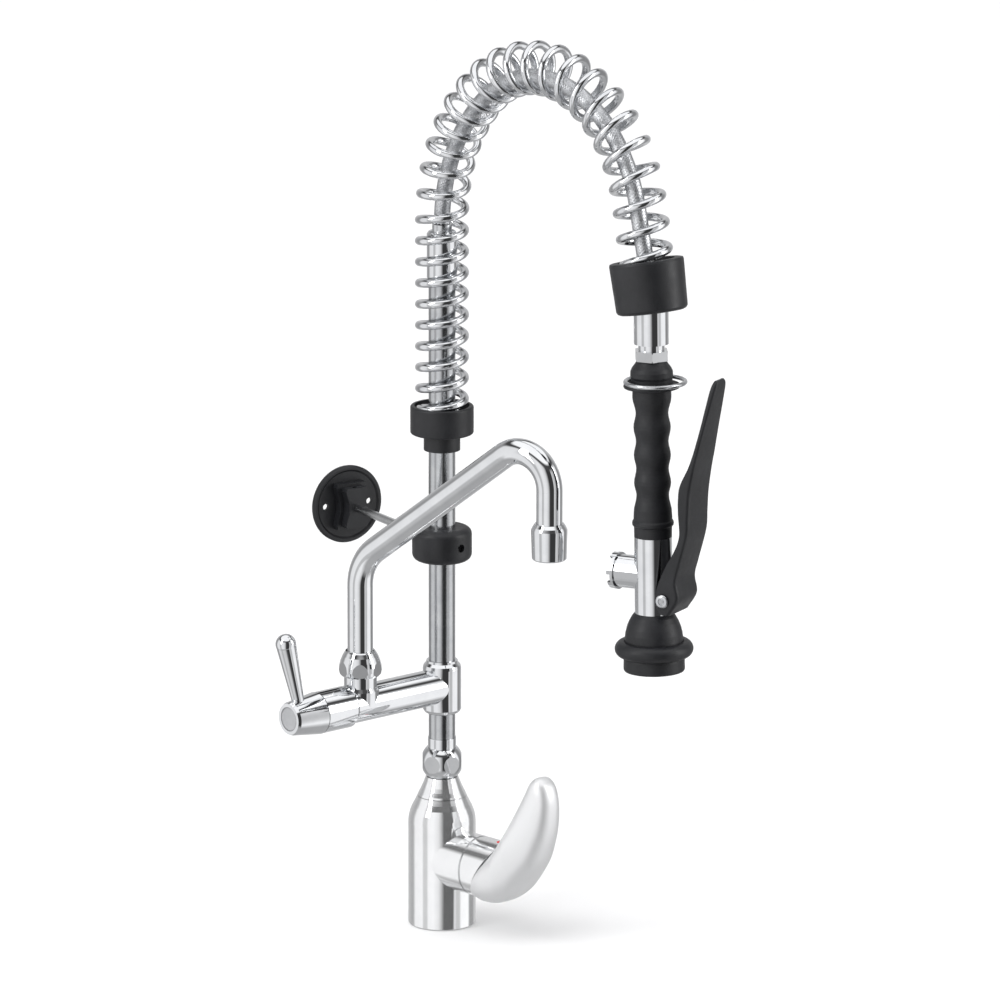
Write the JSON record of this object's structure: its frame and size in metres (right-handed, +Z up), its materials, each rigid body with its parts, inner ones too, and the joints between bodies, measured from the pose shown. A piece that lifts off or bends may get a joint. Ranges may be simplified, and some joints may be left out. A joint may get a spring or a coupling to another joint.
{
  "type": "pre rinse faucet",
  "caption": "Deck-mounted pre-rinse faucet: single-lever mixer, riser with wall bracket, add-on valve with swing spout, and a spray valve on a hose in an arched support spring.",
  "frame": {"origin": "centre of the mixer's underside, on the riser's axis, in the plane of the deck", "axes": "+Z up along the riser, -Y towards the user and under the arch, +Y towards the wall, -X towards the add-on valve"},
  "size_m": [0.2303, 0.4784, 0.7597],
  "materials": {
    "chrome": "polished",
    "seal_rubber": "matte",
    "cartridge_plastic": "moulded",
    "brass": "machined",
    "red_dot": "gloss",
    "dark_steel": "black oxide",
    "steel": "turned",
    "grey_plastic": "satin",
    "black_plastic": "satin",
    "spring_steel": "polished wire",
    "braid": "braided wire",
    "grip_rubber": "satin",
    "bumper_rubber": "matte",
    "face_plastic": "satin"
  },
  "bodies": {
    "fixed_frame": {"mixer_body": "chrome", "base_gasket": "seal_rubber", "mixer_neck": "chrome", "mixer_cartridge": "cartridge_plastic", "cartridge_nut": "brass", "riser_nut": "chrome", "riser_seal": "seal_rubber", "riser_collar": "chrome", "riser_lower": "chrome", "tee_body": "chrome", "valve_cartridge": "brass", "spout_nut": "chrome", "riser_upper": "chrome", "wall_collar": "black_plastic", "wall_rod": "steel", "wall_flange": "black_plastic", "set_screws": "dark_steel", "spring_holder": "black_plastic", "hose_coupling": "chrome"},
    "mixer_turn_body": {"cartridge_rotor": "cartridge_plastic", "lever_cover": "chrome", "index_dot": "red_dot"},
    "mixer_lever_body": {"mixer_lever": "chrome", "lever_stem": "steel", "lever_screw": "dark_steel"},
    "valve_handle_body": {"valve_spindle": "brass", "valve_handle": "chrome", "handle_screw": "steel", "handle_cap": "grey_plastic"},
    "spout_body": {"spout_rings": "seal_rubber", "spout_tube": "chrome", "aerator_housing": "chrome", "aerator_insert": "grey_plastic"},
    "arch_body": {"hose_ferrule": "steel", "hose": "braid", "support_spring": "spring_steel"},
    "pull_body": {"end_cup": "black_plastic", "swivel_ferrule": "chrome"},
    "spray_body": {"gun_nut": "chrome", "grip": "grip_rubber", "grip_tube": "steel", "gun_body": "chrome", "valve_spring": "steel", "valve_cap": "chrome", "lever_pin": "steel", "pin_clips": "steel", "spray_bell": "black_plastic", "bumper_ring": "bumper_rubber", "spray_face": "face_plastic"},
    "ring_body": {"hold_ring": "steel"},
    "spray_lever_body": {"spray_lever": "black_plastic"},
    "stem_body": {"valve_stem": "brass"}
  },
  "joints": [
    {"name": "mixer_temperature", "type": "hinge", "parent": "fixed_frame", "child": "mixer_turn_body", "pos_m": [0.00392, -0.04483, 0.0575], "axis": [0.0872, -0.9962, 0], "range_deg": [-45, 45]},
    {"name": "mixer_flow", "type": "hinge", "parent": "mixer_turn_body", "child": "mixer_lever_body", "pos_m": [0.0042, -0.04802, 0.0319], "axis": [0.9962, 0.0872, 0], "range_deg": [0, 20]},
    {"name": "valve_turn", "type": "hinge", "parent": "fixed_frame", "child": "valve_handle_body", "pos_m": [-0.133, 0, 0.2035], "axis": [1, 0, 0], "range_deg": [0, 90]},
    {"name": "spout_swivel", "type": "hinge", "parent": "fixed_frame", "child": "spout_body", "pos_m": [-0.087, 0, 0.2275], "axis": [0, 0, 1], "range_deg": [-100, 40]},
    {"name": "arch_swing", "type": "hinge", "parent": "fixed_frame", "child": "arch_body", "pos_m": [0, 0, 0.586], "axis": [0, 0, 1], "range_deg": [0, 60]},
    {"name": "spray_pull", "type": "slide", "parent": "arch_body", "child": "pull_body", "axis": [0, 0, -1], "range_m": [0, 0.12], "stiffness_N_per_m": 100, "springref_m": -0.15, "deforming": ["support_spring", "hose"]},
    {"name": "spray_turn", "type": "hinge", "parent": "pull_body", "child": "spray_body", "pos_m": [0, -0.256, 0.563], "axis": [0, 0.0236, 0.9997], "continuous": true},
    {"name": "spray_squeeze", "type": "hinge", "parent": "spray_body", "child": "spray_lever_body", "pos_m": [0.00624, -0.27765, 0.33395], "axis": [-0.9336, -0.3583, 0.0084], "range_deg": [0, 8], "stiffness_Nm_per_rad": 2, "springref_deg": -17.19},
    {"name": "valve_push", "type": "slide", "parent": "spray_body", "child": "stem_body", "axis": [-0.3584, 0.9333, -0.022], "range_m": [0, 0.0024], "deforming": ["valve_spring"]},
    {"name": "ring_lift", "type": "hinge", "parent": "spray_body", "child": "ring_body", "pos_m": [-0.00731, -0.2383, 0.50587], "axis": [-0.9336, -0.3583, 0.0084], "range_deg": [0, 12]}
  ],
  "couplings": [
    {"joint": "valve_push", "follows": "spray_squeeze", "m_per_rad": 0.0165}
  ]
}
